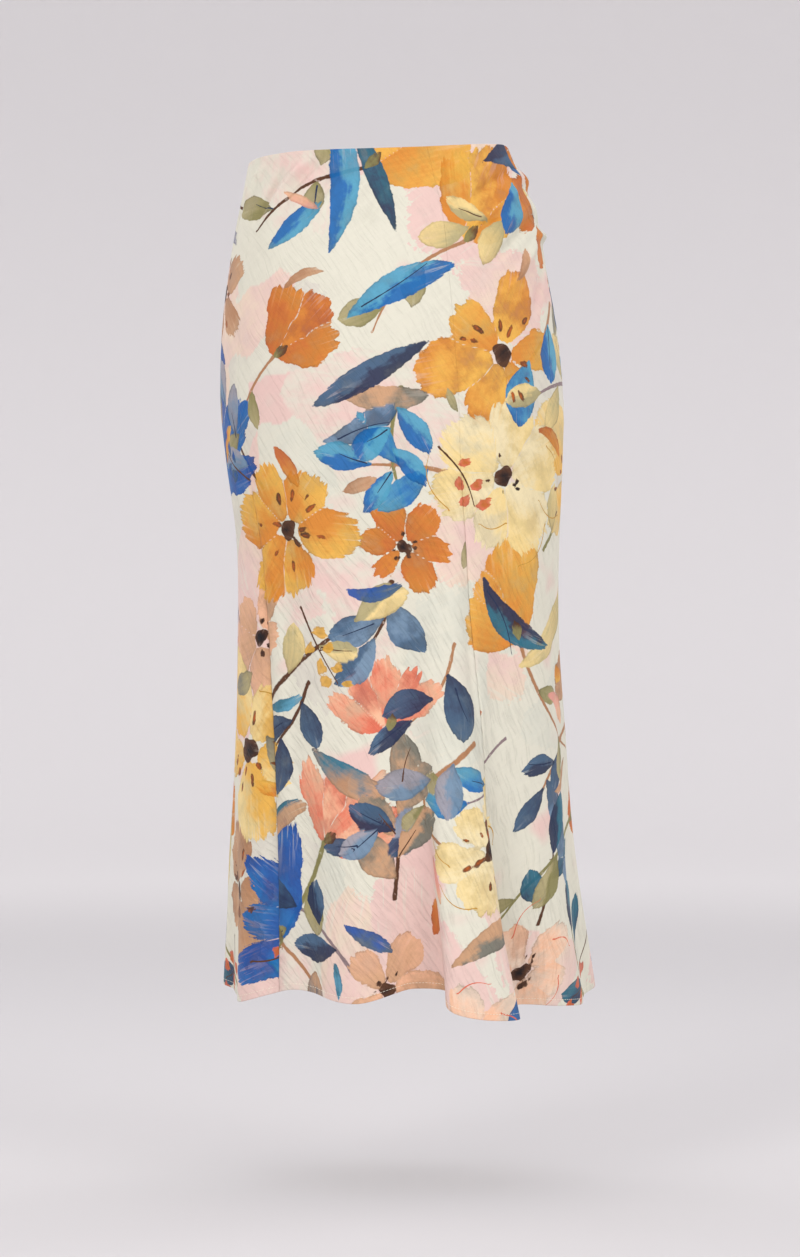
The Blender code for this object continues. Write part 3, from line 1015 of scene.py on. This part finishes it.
def paintMesh(mesh, painter, span):
    # The marks' distances and inks go on the mesh's points, and the material draws from them.
    for name, layer in painter.layers.items():
        far = design["farAway"]
        gap = np.clip(layer.rival - layer.edge, 0, far)
        place = np.stack((np.clip(layer.edge, -far, far), layer.along, layer.across), axis=1)
        first = np.column_stack((layer.firstInk, layer.fraction))
        second = np.column_stack((layer.secondInk, gap))
        putAttribute(mesh, name + "Place", "FLOAT_VECTOR", "vector", place[span])
        putAttribute(mesh, name + "First", "FLOAT_COLOR", "color", first[span])
        putAttribute(mesh, name + "Second", "FLOAT_COLOR", "color", second[span])
    for name, stroke in painter.strokes.items():
        side = np.clip(stroke.side, -design["farSide"], design["farSide"])
        place = np.stack((side, stroke.near, np.zeros_like(stroke.near)), axis=1)
        ink = np.column_stack((stroke.ink, stroke.near))
        putAttribute(mesh, name + "Place", "FLOAT_VECTOR", "vector", place[span])
        putAttribute(mesh, name + "Ink", "FLOAT_COLOR", "color", ink[span])


# The cloth's finish: crepe weave with slubs on the bias, painted shade in its crinkle furrows, and
# watery brush marks
finish = {
    "threadPitch": 0.00055,
    "tone": 0.740,
    "smoothTop": (0.08, 0.55),  # drops between which the crinkles, and the painted shade in their furrows, grow to their full depth
    "slubLength": 0.034,
    "slubWidth": 0.0034,
    "slubTurn": math.radians(56),  # below the horizontal
    "slubWander": 0.020,
    "crinkleDepth": 0.00085,
    "weaveDepth": 0.00006,
    "broadScale": 11.0,     # of the noises that the shades and brush marks read
    "wanderScale": 16.0,
    "edgeScale": 130.0,
    "poolScale": 34.0,
    "grainScale": 620.0,
    "streakAlong": 16,      # how fast a brush's bare streaks change along it and across it
    "streakAcross": 230,
    "bumpStrength": 0.8,
    "roughness": 0.74,
    "specular": 0.24,
    "sheen": 0.07,
    "sheenRoughness": 0.45,
    "reversePale": 0.52,    # how much of the print is lost on the back of the cloth
}

# Softness and wobble are of a mark's edge, fringe is how ragged its far end is, and lean is how
# much one side takes the second ink. Wet is how softly the two inks meet, mottle and rim are pooled
# paint inside and along the edge, dry is bare streaks, and gap parts the petals.
coatColumns = (
    "layer", "softness", "wobble", "fringe", "lean", "wet", "cover", "mottle", "rim", "dry", "gap")
coats = (
    ("patch", 0.0010, 0.0300, 0.012, 0, 0.35, 0.92, 0.02, 0.03, 0.50, 0.0),
    ("petal", 0.0004, 0.0090, 0.012, 6, 0.36, 0.97, 0.19, 0.24, 0.22, 0.0012),
    ("bloom", 0.0004, 0.0090, 0.026, 12, 0.26, 0.97, 0.16, 0.20, 0.38, 0.0012),
    ("leaf", 0.0004, 0.0042, 0.006, 8, 0.30, 0.97, 0.20, 0.30, 0.20, 0.0006),
    ("spray", 0.0004, 0.0046, 0.010, 34, 0.13, 0.97, 0.16, 0.24, 0.38, 0.0006),
    ("dab", 0.0004, 0.0044, 0.009, 20, 0.20, 0.95, 0.14, 0.20, 0.45, 0.0),
    ("dot", 0.0004, 0.0030, 0.000, 0, 0.30, 1.00, 0.05, 0.05, 0.15, 0.0),
)

strokesAfter = {"patch": "stem", "spray": "line"}  # which lines go on top of which layer


def clothShading(name, pale):
    shading = Shading(name)
    place = shading.node("ShaderNodeUVMap", {"uv_map": "clothMap"}, {})
    across, down, _ = place.parts()
    broad = shading.noise(place, finish["broadScale"], 2.0)
    wander = (shading.noise(place, finish["wanderScale"], 1.0) - 0.5) * finish["slubWander"]
    slant = (math.cos(finish["slubTurn"]), math.sin(finish["slubTurn"]))
    grain, cross = across * slant[0] + down * slant[1], down * slant[0] - across * slant[1] + wander
    long, wide = 1 / finish["slubLength"], 1 / finish["slubWidth"]
    slubs = shading.noise(shading.vector(grain * long, cross * wide), 1.0, 3.0, 0.6)
    # furrows are the crinkles' low lines: they sink the bump, and the cloth's colour is darkened along
    # them as painted shade
    furrows = (slubs + (broad - 0.5) * 0.35).rise(0.32, 0.50)
    furrows = 1 - (1 - furrows) * (0.45 + down.rise(*finish["smoothTop"]) * 0.55)
    crossSlubs = shading.noise(shading.vector(grain * wide, cross * long, 3.0), 1.0, 2.0)
    weave = shading.noise(place, 1 / finish["threadPitch"], 1.0)
    edgeNoise = shading.noise(place, finish["edgeScale"], 4.0, 0.62)
    pool = shading.noise(place, finish["poolScale"], 4.0, 0.6)
    grains = shading.noise(place, finish["grainScale"], 3.0, 0.7)

    cream, pink = (*inks["cream"], 1), (*inks["pinkWash"], 1)
    color = shading.blend(broad.rise(0.56, 0.66), cream, pink)
    for row in coats:
        coat = dict(zip(coatColumns, row))
        color = brushOver(shading, color, coat, edgeNoise, pool, grains)
        if coat["layer"] in strokesAfter:
            color = drawStrokes(shading, color, strokesAfter[coat["layer"]], edgeNoise)

    # painted shade in the crinkle furrows, with the yarn's own uneven tone from the slubs and the
    # weave
    threadsAndFurrowShade = finish["tone"] + furrows * 0.05 + (slubs - 0.5) * 0.06 + (crossSlubs - 0.5) * 0.06
    threadsAndFurrowShade = threadsAndFurrowShade + (weave - 0.5) * 0.09
    shade = shading.vector(threadsAndFurrowShade, threadsAndFurrowShade, threadsAndFurrowShade)
    color = shading.blend(1.0, color, shade, "MULTIPLY")
    if pale:
        color = shading.blend(pale, color, cream)
    height = (slubs * 0.4 + furrows * 0.5 + crossSlubs * 0.2) * finish["crinkleDepth"]
    height = height + weave * finish["weaveDepth"]
    relief = {"Strength": finish["bumpStrength"], "Distance": 1.0, "Height": height}
    bump = shading.node("ShaderNodeBump", {}, relief)
    rough = finish["roughness"] + (slubs - 0.5) * 0.10
    return shading.finish({
        "Base Color": color,
        "Roughness": rough,
        "Normal": bump,
        "Sheen Weight": finish["sheen"],
        "Sheen Roughness": finish["sheenRoughness"],
        "Specular IOR Level": finish["specular"],
    })


def brushOver(shading, color, coat, edgeNoise, pool, grains):
    layer = coat["layer"]
    edge, along, across = shading.attribute(layer + "Place", "Vector").parts()
    fraction = shading.attribute(layer + "First", "Alpha")
    gap = shading.attribute(layer + "Second", "Alpha")
    brush = shading.vector(along * finish["streakAlong"], across * finish["streakAcross"])
    streaks = shading.noise(brush, 1.0, 4.0, 0.62)
    distance = edge + (edgeNoise - 0.5) * coat["wobble"]
    if coat["fringe"]:
        distance = distance + (streaks - 0.42) * fraction.rise(0.35, 1.0) * coat["fringe"]
    mask = 1 - distance.rise(-coat["softness"], coat["softness"])
    mingled = streaks * 0.45 + pool * 1.35 + fraction * 0.45 - 0.67 + across * coat["lean"]
    amount = mingled.rise(0.45 - coat["wet"], 0.45 + coat["wet"])
    first, second = (shading.attribute(layer + end, "Color") for end in ("First", "Second"))
    ink = shading.blend(amount, first, second)
    rim = distance.rise(-0.0026, -0.0004) * coat["rim"] * pool.rise(0.35, 0.6)
    tone = 1.0 + coat["mottle"] * 0.4 - rim - pool.rise(0.42, 0.66) * coat["mottle"] * 1.25
    tone = tone + ((streaks - 0.5) * 0.3 + (grains - 0.5)) * coat["mottle"] * 1.1
    ink = shading.blend(1.0, ink, shading.vector(tone, tone, tone), "MULTIPLY")
    dry = streaks.rise(0.54, 0.60) * fraction.rise(0.50, 1.0) * coat["dry"]
    thin = pool.rise(0.52, 0.72) * (1 - coat["cover"]) * 2.4
    cover = mask * (coat["cover"] - thin) * (1 - dry)
    if coat["gap"]:
        cover = cover * (1 - (1 - gap.rise(coat["gap"] * 0.5, coat["gap"] * 1.6)) * 0.75)
    return shading.blend(cover, color, ink)


def drawStrokes(shading, color, name, edgeNoise):
    side, near, _ = shading.attribute(name + "Place", "Vector").parts()
    width = 1 + (edgeNoise - 0.5) * 1.6
    line = 1 - (side.size() - width).rise(-0.25, 0.25)
    close = 1 - near.rise(0.0016, 0.0026)
    cover = line * close * (1 - edgeNoise.rise(0.60, 0.72) * 0.5)
    return shading.blend(cover, color, shading.attribute(name + "Ink", "Color"))


def buildPanel(laid, painter, span, face, reverse):
    panel = dict(zip(panelColumns, panels[laid["name"]]))
    rows = laid["shape"][0] - 1
    deselectAll()
    bpy.ops.mesh.primitive_grid_add(x_subdivisions=panel["columns"], y_subdivisions=rows, size=1)
    piece = bpy.context.object
    piece.name = laid["name"].replace("_panel", "_cloth")
    mesh = piece.data
    spots = np.array([vert.co[:2] for vert in mesh.vertices])
    column = np.rint((spots[:, 0] + 0.5) * panel["columns"]).astype(int)
    row = np.rint((0.5 - spots[:, 1]) * rows).astype(int)
    order = row * laid["shape"][1] + column
    mesh.vertices.foreach_set("co", laid["points"].reshape(-1, 3)[order].ravel())

    corners = np.zeros(len(mesh.loops), dtype=np.int32)
    mesh.loops.foreach_get("vertex_index", corners)
    while mesh.uv_layers:
        mesh.uv_layers.remove(mesh.uv_layers[0])
    mapLayer = mesh.uv_layers.new(name="clothMap")
    mapLayer.data.foreach_set("uv", laid["flat"][order][corners].astype(np.float32).ravel())
    paintMesh(mesh, painter, np.arange(span.start, span.stop)[order])

    mesh.materials.append(face)
    mesh.materials.append(reverse)
    mesh.shade_smooth()
    wall = piece.modifiers.new("wall", "SOLIDIFY")
    wall.thickness = cloth["thickness"]
    wall.offset = -1
    wall.material_offset = 1
    bpy.ops.object.modifier_apply(modifier="wall")
    return piece


# Thread stitches of the turned hem
stitching = {
    "length": 0.0026,
    "pitch": 0.0032,
    "thick": 0.00042,
    "aboveHem": 0.0062,
    "lift": 0.00008,        # of a stitch's middle above the cloth
    "ahead": 0.0005,        # to the point that a stitch heads for
    "color": (236, 229, 208),
    "shaded": 0.86,         # tone between the twists
    "twistScale": 2600.0,
    "roughness": 0.6,
}


def stitchRow(laid, drop):  # places, headings and outward vectors of one panel's stitches
    rowDrops, rowsIn = laid["path"].T
    row = int(np.argmin(np.abs(rowDrops - drop) + rowsIn * 10))  # nearest, and of the outer face
    line, out = laid["points"][row], laid["out"][row]
    arc = np.concatenate(([0], np.cumsum(np.linalg.norm(np.diff(line, axis=0), axis=1))))
    spots = np.arange(stitching["pitch"], arc[-1] - stitching["pitch"] / 2, stitching["pitch"])
    step = stitching["ahead"]
    places = np.stack([np.interp(spots, arc, line[:, axis]) for axis in range(3)], axis=1)
    ahead = np.stack([np.interp(spots + step, arc, line[:, axis]) for axis in range(3)], axis=1)
    outs = np.stack([np.interp(spots, arc, out[:, axis]) for axis in range(3)], axis=1)
    heading = (ahead - places) / np.linalg.norm(ahead - places, axis=1, keepdims=True)
    return places, heading, outs


def buildStitches(laidPanels):
    deselectAll()
    bpy.ops.mesh.primitive_uv_sphere_add(segments=6, ring_count=5, radius=0.5)
    stitch = bpy.context.object
    stitch.name = "hem_stitches"
    shape = np.array([vert.co for vert in stitch.data.vertices])
    faces = [tuple(face.vertices) for face in stitch.data.polygons]
    corners, allFaces = [], []
    for laid in laidPanels:
        places, heading, outs = stitchRow(laid, form["length"] - stitching["aboveHem"])
        for place, ahead, out in zip(places, heading, outs):
            up = np.cross(ahead, out)
            start = len(corners) * len(shape)
            allFaces += [tuple(start + corner for corner in face) for face in faces]
            middle = place + out * stitching["lift"]
            corners.append(
                middle
                + np.outer(shape[:, 2], ahead) * stitching["length"]
                + np.outer(shape[:, 0], out) * stitching["thick"]
                + np.outer(shape[:, 1], up) * stitching["thick"])
    stitch.data.clear_geometry()
    stitch.data.from_pydata(np.concatenate(corners).tolist(), [], allFaces)
    stitch.data.shade_smooth()
    shading = Shading("sewingThread")
    place = shading.node("ShaderNodeTexCoord", {}, {}, 3)
    twist = shading.noise(place, stitching["twistScale"], 2.0)
    pale = inkOf(*stitching["color"])
    tone = shading.blend(twist, (*(pale * stitching["shaded"]), 1), (*pale, 1))
    shading.finish({"Base Color": tone, "Roughness": stitching["roughness"]})
    stitch.data.materials.append(shading.material)
    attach(stitch, "root")
    return stitch


def reportSize(laid):  # prints each panel's waist width, widest width, length and area
    points = laid["points"]
    firstRow = cloth["turnSteps"] + cloth["foldSteps"]  # of the outer face
    acrossStep, downStep = np.diff(points, axis=1), np.diff(points, axis=0)
    widths = np.linalg.norm(acrossStep, axis=2).sum(axis=1)
    lengths = np.linalg.norm(downStep, axis=2).sum(axis=0)
    area = np.linalg.norm(np.cross(acrossStep[:-1], downStep[:, :-1]), axis=2).sum()
    print(laid["name"], "waist", round(widths[firstRow], 3), "widest", round(widths.max(), 3),
          "long", round(lengths.max(), 3), "area", round(area, 4))


placeCamera()
buildStudio()
placeLamps()
bpy.context.scene.view_settings.view_transform = "Standard"
print("camera, studio and lamps placed")

laidPanels = [layPanel(name) for name in panels]
for laid in laidPanels:
    reportSize(laid)
print("panels laid out")

painter = paintCloth(np.concatenate([laid["flat"] for laid in laidPanels]))
print("print painted")

face = clothShading("printedCrepe", 0.0)
reverse = clothShading("printedCrepeReverse", finish["reversePale"])
start = 0
for laid in laidPanels:
    span = slice(start, start + len(laid["flat"]))
    start = span.stop
    piece = buildPanel(laid, painter, span, face, reverse)
    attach(piece, "root")
    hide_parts(laid["name"])
    print(piece.name, "made")

buildStitches(laidPanels)
print("hem stitched")
